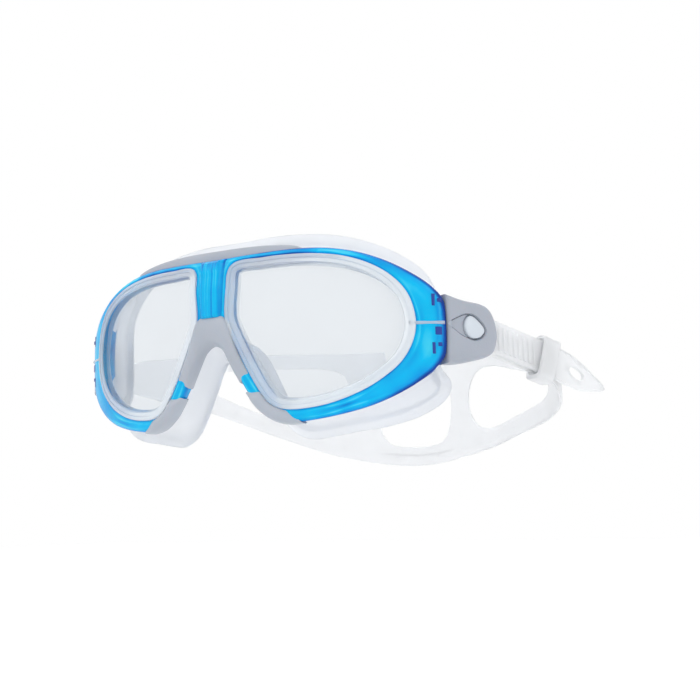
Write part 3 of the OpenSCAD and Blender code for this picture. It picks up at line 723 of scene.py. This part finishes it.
# -------- clips
def make_clip(side):
    """The clip's soft grey body with its almond recess, and the opening for the button."""
    corner = catmull(CLIP_OUTLINE, 6, closed=False)
    outline = np.vstack([corner, [[3.3, -8], [3.3, -2], [3.3, 5]]])
    angles = turns(144)
    corner_angles = [math.atan2(*(np.array(c) - BUTTON_CENTRE)[::-1]) % (2 * math.pi)
                     for c in (CLIP_OUTLINE[0], CLIP_OUTLINE[-1], ALMOND[0])]
    angles = np.sort(np.r_[angles, corner_angles])
    direction = unit(angles)
    rim = cast(BUTTON_CENTRE, angles, outline)
    almond = cast(BUTTON_CENTRE, angles, catmull(ALMOND, 10))
    clearance, round_over, back_w = 0.12, 1.6, 2.6
    opening = cast(BUTTON_CENTRE, angles, catmull(INSERT, 10)) + clearance

    def dome(u):
        front, rear = np.clip((15 - u) / 11.7, 0, 1), np.clip((u - 15) / 10, 0, 1)
        return -6.1 + 1.1 * front ** 2 + 0.6 * rear ** 2

    rows = [(opening, 3.2), (opening, 1.25), (opening + 0.15, 1.05)]
    inner = np.maximum(almond - 0.35, opening + 0.2)
    outer = np.maximum(almond, opening + 0.45)
    rows += [(opening + 0.2 + (inner - opening - 0.2) * k, 1.0 - 0.35 * k) for k in (0.33, 0.66, 1.0)]
    rows += [(outer - 0.05, 1.05), (outer + 0.12, 0.35), (outer + 0.35, 0.0)]
    rows += [(outer + 0.35 + (rim - round_over - outer - 0.35) * k, 0.0) for k in (0.33, 0.66, 1.0)]
    rows += [(rim - round_over * (1 - math.sin(a)), round_over * (1 - math.cos(a)))
             for a in (0.35, 0.7, 1.05, 1.57)]
    rings = []
    for radius, deep in rows:
        p = BUTTON_CENTRE + direction * radius[:, None]
        rings.append(clip_xyz(side, p[:, 0], dome(p[:, 0]) + deep, p[:, 1]))
    back = [(rim, 1.4), (rim - 0.35, 2.1), (rim - 1.0, back_w), (rim - 3.2, back_w), (rim * 0.4, back_w)]
    for radius, w in back:
        p = BUTTON_CENTRE + direction * radius[:, None]
        hollow = 1.0 * (w > 2) * np.clip((9 - p[:, 0]) / 3.5, 0, 1)  # room for the skirt as the clip turns
        rings.append(clip_xyz(side, p[:, 0], w - hollow, p[:, 1]))
    shell = Shell()
    n = len(angles)
    starts = shell.loft(rings)
    shell.fan(starts[-1], n, clip_xyz(side, BUTTON_CENTRE[0], back_w, BUTTON_CENTRE[1]))
    floor_tip = clip_xyz(side, BUTTON_CENTRE[0], -3.2, BUTTON_CENTRE[1])
    shell.fan(starts[0], n, floor_tip, flip=True)
    # The ears that turn on the pin.
    turn = np.linspace(math.radians(48), math.radians(312), 30)
    ear = np.vstack([2.7 * unit(turn), [[4.4, -2.3], [4.4, 0.6]]])
    for z0, z1 in EAR_Z:
        slab(shell, ear[::-1], lambda a, b, h: clip_xyz(side, a, b, h), z0, z1, 0.25)
    name = BODY[side]
    obj = shell.build("clip_body_" + name, clip_grey_and_brow_shade, 38)
    return finish_piece(obj, name + "_clip", "soft_grey", "clip_housing_" + name, "clip_cover_" + name)


def make_button(side):
    """The domed cap that fills the clip's opening."""
    outline = even(catmull(INSERT, 10), 72)
    shell = Shell()
    centre = np.array([14.3, -1.2])
    rows = [(1, -4.5), (1, -5.6), (0.97, -5.9), (0.9, -6.1), (0.78, -6.28), (0.6, -6.42), (0.38, -6.5),
            (0.16, -6.52)]
    rings = []
    for shrink, w in rows:
        p = centre + (outline - centre) * shrink
        rings.append(clip_xyz(side, p[:, 0], w, p[:, 1]))
    starts = shell.loft(rings)
    shell.fan(starts[-1], len(outline), clip_xyz(side, centre[0], rows[-1][1], centre[1]))
    shell.fan(starts[0], len(outline), clip_xyz(side, centre[0], rows[0][1], centre[1]), flip=True)
    name = BODY[side]
    obj = shell.build("button_cap_" + name, insert_white, 50)
    return finish_piece(obj, name + "_button", "white", "button_" + name)


# -------- strap
ACROSS = np.array([0, 0.012, 0.035, 0.07, 0.16, 0.27, 0.385, 0.5, 0.615, 0.73, 0.84, 0.93, 0.965,
                   0.988, 1])
RUN_U = [10, 17, 24, 33, 42]
KNOT_STEPS = 24
# Where the band splits, its upright bar and its edges, in knots of STRAP_PLAN.
SPLIT_START, SPLIT_TIP, BAR_IN, BAR_MID, BAR_OUT = 3.5, 4.3, 7.2, 7.34, 7.48


class Ribbon:
    """Half of the head strap laid flat: s runs along it from the clip, z is its height when worn."""

    def __init__(self, side):
        self.side = side
        run = clip_xyz(1, np.array(RUN_U), INNER_RUN_W, 0.0)[:, :2]
        plan = np.vstack([run, STRAP_PLAN])
        run_edges = [[run_z(u, side) - STRAP_W / 2, run_z(u, side) + STRAP_W / 2] for u in RUN_U]
        edges = np.vstack([run_edges, STRAP_EDGES[side]])
        mirrored_plan = np.vstack([plan, [-STRAP_PLAN[-2][0], STRAP_PLAN[-2][1]]])
        mirrored_edges = np.vstack([edges, STRAP_EDGES[-side][-2]])
        count = (len(plan) - 1) * KNOT_STEPS + 1
        self.plan = catmull(mirrored_plan, KNOT_STEPS, closed=False)[:count]
        self.edges = catmull(mirrored_edges, KNOT_STEPS, closed=False)[:count]
        self.s = np.r_[0, np.cumsum(np.linalg.norm(np.diff(self.plan, axis=0), axis=1))]
        self.knots = np.arange(count) / KNOT_STEPS - len(RUN_U)
        d = np.gradient(self.plan, axis=0)
        d /= np.linalg.norm(d, axis=1)[:, None]
        self.out = np.stack([d[:, 1], -d[:, 0]], 1)
        self.length = self.s[-1]

    def at(self, t):
        """The length along the band at knot t."""
        return np.interp(t, self.knots, self.s)

    def lows(self, s):
        return np.interp(s, self.s, self.edges[:, 0])

    def highs(self, s):
        return np.interp(s, self.s, self.edges[:, 1])

    def borders(self, s):
        """The band's lower and upper edge as flat lines."""
        return np.stack([s, self.lows(s)], 1), np.stack([s, self.highs(s)], 1)

    def place(self, p, h):
        """A flat point (s, z) at h off the strap's middle, outwards."""
        x, y = (np.interp(p[:, 0], self.s, self.plan[:, k]) for k in (0, 1))
        ox, oy = (np.interp(p[:, 0], self.s, self.out[:, k]) for k in (0, 1))
        return np.stack([self.side * (x + h * ox), y + h * oy, p[:, 1]], 1)

    def hole(self, shape, a, b):
        """A window's outline from its unit shape, between lengths a and b and inside both bands."""
        s = a + (b - a) * shape[:, 0]
        low = self.lows(s) + BAND_LOW
        high = self.highs(s) - BAND_HIGH
        middle = (low + high) / 2
        gap = np.maximum(high - low, 1.0)
        return np.stack([s, middle + (shape[:, 1] - 0.5) * gap], 1)


# Outlines of the windows: share of the length, and share of the height between the bands.
WINDOW = [(0, .5), (.04, .18), (.14, .02), (.3, -.02), (.55, -.02), (.8, 0), (.94, .14), (1, .5),
          (.94, .86), (.8, 1), (.55, 1.02), (.3, 1.02), (.14, .98), (.04, .82)]
MIDDLE = [(1, 1), (.6, 1), (.3, .97), (.1, .84), (0, .5), (.1, .16), (.3, .03), (.6, 0), (1, 0)]


def make_strap(side):
    """Half of the band behind the head, from the clip to the middle, with its windows and dots."""
    band = Ribbon(side)
    shell = Shell()
    split, tip, bar, end = band.at(SPLIT_START), band.at(SPLIT_TIP), band.at(BAR_MID), band.length
    bar_in, bar_out = band.at(BAR_IN), band.at(BAR_OUT)
    window = even(band.hole(catmull(WINDOW, 10), tip, bar_in), 160)
    middle = even(band.hole(catmull(MIDDLE, 10, closed=False), bar_out, end), 120, closed=False)
    low_edge, high_edge = band.borders(np.linspace(0, end, 260))

    def thick(p):
        """Half the strap's thickness, which rounds off towards each edge."""
        d = np.minimum(distance(p, low_edge, False), distance(p, high_edge, False))
        d = np.minimum(d, np.minimum(distance(p, window), distance(p, middle, False)))
        r = STRAP_T / 2
        return r * np.sqrt(np.clip(1 - (1 - np.clip(d / r, 0, 1)) ** 2, 0, 1))

    def skin(rings, closed):
        for sign in (1, -1):
            shell.loft([band.place(p, sign * thick(p)) for p in rings], closed)

    def across(s):
        low, high = band.lows(s), band.highs(s)
        return np.stack([np.full(len(ACROSS), s), low + (high - low) * ACROSS], 1)

    # From the clip to where the strap splits.
    skin([across(s) for s in np.linspace(0, split, 46)], False)

    def cell(outer, centre, hole, closed):
        """The stretch of band between an outer outline and the window in it."""
        v = outer - centre
        angles = np.arctan2(v[:, 1], v[:, 0])
        reach = np.linalg.norm(v, axis=1)
        start = cast(centre, angles, hole, closed)
        start = np.where(start > 0, start, reach * 0.5)
        direction = v / reach[:, None]
        rows = [start, start + 0.1, start + 0.3, start + 0.75]
        span = reach - start - 1.5
        rows += [start + 0.75 + span * k for k in (0.2, 0.4, 0.6, 0.8, 1.0)]
        rows += [reach - 0.3, reach - 0.1, reach]
        skin([centre + direction * r[:, None] for r in rows], closed)

    shared = across(bar)
    low, high = band.borders(np.linspace(split, bar, 60)[1:-1])
    cell(np.vstack([across(split)[::-1], low, shared, high[::-1]]), window.mean(0), window, True)
    low, high = band.borders(np.linspace(bar, end, 24)[1:])
    centre = np.array([end, (middle[0, 1] + middle[-1, 1]) / 2])
    cell(np.vstack([high[::-1], shared[::-1], low]), centre, middle, False)

    def dot(s, z):
        """A small round grip dot."""
        rings = []
        for radius, lift in ((0.75, -0.2), (0.7125, 0.08), (0.5625, 0.22), (0.3, 0.32)):
            rings.append(band.place(np.array([s, z]) + radius * unit(turns(16)), STRAP_T / 2 + lift))
        shell.loft(rings, cap_first=True, cap_last=True)

    for s in np.arange(tip + 3, end - 3, 13.5):
        if not (bar_in - 5 < s < bar_out + 2):
            dot(s, band.lows(s) + 4.2)
            dot(s + 5, band.highs(s + 5) - 4)
    for k in (0.2, 0.4, 0.6, 0.8):
        dot(bar, band.lows(bar) + (band.highs(bar) - band.lows(bar)) * k)

    def ridge(path, width, height):
        """A thin moulded line along a path."""
        rings = []
        d = np.gradient(path, axis=0)
        d /= np.linalg.norm(d, axis=1)[:, None]
        normal = np.stack([-d[:, 1], d[:, 0]], 1)
        section = [(-1, -0.15), (-0.6, height * 0.7), (0, height), (0.6, height * 0.7), (1, -0.15)]
        for share, lift in section:
            rings.append(band.place(path + normal * width * share, STRAP_T / 2 + lift))
        shell.loft(np.stack(rings, 1), cap_first=True, cap_last=True)

    s = np.linspace(band.at(7.5), band.at(7.98), 30)
    ridge(np.stack([s, band.lows(s) + 5.2], 1), 0.4, 0.16)
    turn = np.linspace(-1.2, 1.2, 16)
    s0 = band.at(SPLIT_TIP) - 4
    z0 = (band.lows(s0) + band.highs(s0)) / 2
    ridge(np.stack([s0 - 3 * np.cos(turn) + 2, z0 - 5.5 + 3.2 * np.sin(turn)], 1), 0.5, 0.22)

    name = BODY[side]
    obj = shell.build("head_band_" + name, strap_clear, 60)
    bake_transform(obj)
    return obj


def make_outer_run(side):
    """The free end: out of the clip with cross ribs, through the keeper, and a pointed tail with a hole."""
    us = np.r_[np.linspace(10, 24.4, 12), np.arange(24.8, 42.0, 0.22),
               np.linspace(42.4, TAIL_START, 14)]
    w0 = OUTER_RUN_W
    shell = Shell()
    rib_from, rib_to, rib_pitch, rib_share, rib_height = 25.6, 42, 2.2, 0.62, 0.55

    def rib(u):
        phase = ((u - rib_from) / rib_pitch) % 1
        if phase >= rib_share or not rib_from < u < rib_to:
            return 0.0
        return rib_height * np.clip(np.sin(math.pi * min(1, phase / rib_share)) * 2.2, 0, 1)

    half_t = STRAP_T / 2
    profile = [(-1, 0), (-0.985, 0.5), (-0.94, 0.85), (-0.88, 1), (-0.74, 1), (-0.7, 1), (-0.35, 1),
               (0, 1), (0.35, 1), (0.7, 1), (0.74, 1), (0.88, 1), (0.94, 0.85), (0.985, 0.5), (1, 0)]
    rings = []
    for u in us:
        zc = float(run_z(u, side))
        top = [clip_xyz(side, u, w0 - half_t * b - rib(u) * (abs(a) < 0.72), zc + a * STRAP_W / 2)
               for a, b in profile]
        under = [clip_xyz(side, u, w0 + half_t * b, zc + a * STRAP_W / 2) for a, b in profile[-2:0:-1]]
        rings.append(np.array(top + under))
    shell.loft(rings, cap_first=True, cap_last=True)
    # The tail: a pointed outline with a raised rim around an oval hole.
    slope = FALL[side] + 0.1
    base = float(run_z(TAIL_START, side))
    upper = [(-2.3, 5.4), (0, 6.3), (4.5, 6.5), (9, 6.2), (14, 4.9), (18.8, 2.9), (22.4, 1.3)]
    outline = catmull([(-2.5, 0), *upper, (23.3, 0), *[(a, -b) for a, b in upper[::-1]]], 8)
    hole_centre = np.array([9.8, 0])
    turn = turns(128)
    direction = unit(turn)
    reach = cast(hole_centre, turn, outline)
    opening = 1 / np.sqrt((np.cos(turn) / 3.1) ** 2 + (np.sin(turn) / 1.9) ** 2)
    rows = [(opening, 0.0), (opening + 0.15, 0.55), (opening + 0.5, 0.75), (opening + 0.95, 0.55),
            (opening + 1.2, 0.3)]
    rows += [(opening + 1.2 + (reach - 1.4 - opening - 1.2) * k, 0.3) for k in (0.33, 0.66, 1)]
    rows += [(reach - 1.15, 0.62), (reach - 0.6, 0.78), (reach - 0.2, 0.55), (reach, 0.0)]

    def tail(sign):
        """The tail's outer face for sign -1 and its flatter inner face for 1."""
        rings = []
        for radius, h in rows:
            p = hole_centre + direction * radius[:, None]
            lift = h if sign < 0 else min(h, 0.55)
            z = base - slope * p[:, 0] + p[:, 1]
            rings.append(clip_xyz(side, TAIL_START + p[:, 0], w0 + sign * lift, z))
        return rings

    shell.loft(tail(-1) + tail(1)[::-1])
    name = BODY[side]
    obj = shell.build("strap_tail_" + name, strap_clear, 50)
    return finish_piece(obj, name + "_clip", "strap", "strap_end_" + name)


def make_keeper(side):
    """The loop over both runs, with a rounded bump on its upper side."""
    u0, length = 47.8, 7.2
    tilt = math.atan(FALL[side])
    outer = catmull([(-5.5, 0), (-5.45, 6.2), (-4.7, 7.4), (-3.4, 7.8), (-1.4, 8.5), (0.6, 7.9),
                     (2.1, 7.5), (2.8, 6.4), (2.85, 0), (2.8, -6.6), (2.1, -8.2), (0.6, -8.7),
                     (-1.4, -8.8), (-3.4, -8.7), (-4.7, -8.0), (-5.45, -6.2)], 8)
    upper = [(-4.15, 5.8), (-3.4, 6.7), (-1.35, 6.85), (0.7, 6.7), (1.5, 5.8)]
    inner = catmull([(-4.2, 0), *upper, (1.55, 0), *[(a, -b) for a, b in upper[::-1]]], 8)
    turn = turns(96)
    centre = np.array([-1.35, 0.0])
    direction = unit(turn)
    far, near = cast(centre, turn, outer), cast(centre, turn, inner)
    half = length / 2
    end = [(near, 0.3), (near + 0.25, 0), (far - 0.45, 0), (far - 0.1, 0.2), (far, 0.6),
           (far + 0.12, 1.2), (far + 0.05, 1.8)]
    rows = [(radius, inset - half) for radius, inset in end] + [(far, 0)]
    rows += [(radius, half - inset) for radius, inset in end[::-1]] + [(near, end[0][1] - half)]
    shell = Shell()
    rings = []
    for radius, along in rows:
        p = centre + direction * radius[:, None]
        du = along * math.cos(tilt) + p[:, 1] * math.sin(tilt)
        dz = -along * math.sin(tilt) + p[:, 1] * math.cos(tilt)
        rings.append(clip_xyz(side, u0 + du, p[:, 0], float(run_z(u0, side)) + dz))
    shell.loft(rings)
    name = BODY[side]
    obj = shell.build("keeper_loop_" + name, strap_clear, 45)
    return finish_piece(obj, name + "_keeper", "strap", "keeper_" + name)


# -------- build
make_frame()
make_bar()
make_nose_grip()
make_brow_grip()
make_skirt()
for side in (1, -1):
    make_hinge_marks(side)
    make_lens(side)
    make_clip(side)
    make_button(side)
    band = make_strap(side)
    if side == 1:
        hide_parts("head_strap")
    make_outer_run(side)
    make_keeper(side)
# The inner metal parts that no piece replaces are shown as they are in the CAD.
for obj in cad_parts.values():
    if not obj.hide_render:
        obj.data.materials.clear()
        obj.data.materials.append(steel)

# -------- stage, light, camera
scene = bpy.context.scene
scene.view_settings.view_transform = "Standard"


def make_floor():
    """A pale floor below the goggles."""
    mesh = bpy.data.meshes.new("floor")
    bm = bmesh.new()
    bmesh.ops.create_grid(bm, x_segments=2, y_segments=2, size=3)
    bm.to_mesh(mesh)
    bm.free()
    m = bpy.data.materials.new("floor")
    m.use_nodes = True
    shader = m.node_tree.nodes["Principled BSDF"]
    shader.inputs["Base Color"].default_value = (0.94, 0.94, 0.94, 1)
    shader.inputs["Roughness"].default_value = 0.9
    mesh.materials.append(m)
    floor = bpy.data.objects.new("floor", mesh)
    floor.location = (0, 0.07, -0.2)
    scene.collection.objects.link(floor)


def make_world():
    """White where the camera sees it, and a little brighter above than below as light."""
    world = bpy.data.worlds.new("studio")
    scene.world = world
    world.use_nodes = True
    nt = world.node_tree
    seen = nt.nodes["Background"]
    seen.inputs["Color"].default_value = (1, 1, 1, 1)
    seen.inputs["Strength"].default_value = 1.0
    light = add_node(nt, "Background")
    coords = add_node(nt, "TexCoord")
    split = add_node(nt, "SeparateXYZ")
    ramp = add_node(nt, "ValToRGB")
    set_ramp(ramp, [(0.0, (0.92, 0.93, 0.95)), (0.375, (0.97, 0.975, 0.98)), (1.0, (1.15, 1.15, 1.15))])
    span = add_node(nt, "MapRange", From_Min=-0.6, From_Max=1.0)
    path = add_node(nt, "LightPath")
    mix = add_node(nt, "MixShader")
    nt.links.new(coords.outputs["Generated"], split.inputs["Vector"])
    nt.links.new(split.outputs["Z"], span.inputs["Value"])
    nt.links.new(span.outputs["Result"], ramp.inputs["Fac"])
    nt.links.new(ramp.outputs["Color"], light.inputs["Color"])
    nt.links.new(path.outputs["Is Camera Ray"], mix.inputs["Fac"])
    nt.links.new(light.outputs["Background"], mix.inputs[1])
    nt.links.new(seen.outputs["Background"], mix.inputs[2])
    nt.links.new(mix.outputs["Shader"], nt.nodes["World Output"].inputs["Surface"])


def area_light(name, place, target, size, power):
    """A rectangular lamp at place that points at target; metres and watts."""
    data = bpy.data.lights.new(name, "AREA")
    data.shape = "RECTANGLE"
    data.size, data.size_y = size
    data.energy = power
    obj = bpy.data.objects.new(name, data)
    obj.location = place
    obj.rotation_euler = (Vector(target) - Vector(place)).to_track_quat("-Z", "Y").to_euler()
    scene.collection.objects.link(obj)


def make_camera():
    """A camera in front of the wearer's left and a little below, seen along the unit vector toward it."""
    yaw, lift, tilt = math.radians(28.91), math.radians(-8), math.radians(1.64)
    target, reach = Vector((0.035948, 0.018, -0.004275)), 0.40375
    toward = Vector((math.sin(yaw) * math.cos(lift), -math.cos(yaw) * math.cos(lift), math.sin(lift)))
    right = Vector((math.cos(yaw), math.sin(yaw), 0))
    up = toward.cross(right)
    x = math.cos(tilt) * right - math.sin(tilt) * up
    y = math.sin(tilt) * right + math.cos(tilt) * up
    place = target + toward * reach
    data = bpy.data.cameras.new("camera")
    data.sensor_width = 36
    data.lens = 55.542857
    data.clip_start = 0.01
    data.clip_end = 20
    camera = bpy.data.objects.new("camera", data)
    camera.matrix_world = Matrix(((x[0], y[0], toward[0], place[0]), (x[1], y[1], toward[1], place[1]),
                                  (x[2], y[2], toward[2], place[2]), (0, 0, 0, 1)))
    scene.collection.objects.link(camera)
    scene.camera = camera


make_floor()
make_world()
area_light("key", (-0.5, -0.9, 0.9), (0, 0, 0), (0.7, 0.5), 2.0)
area_light("side", (1.1, -0.3, 0.5), (0.05, 0, 0), (0.3, 0.8), 1.2)
area_light("back", (0.2, 1.1, 0.8), (0, 0.05, 0), (1.2, 0.6), 1.0)
make_camera()
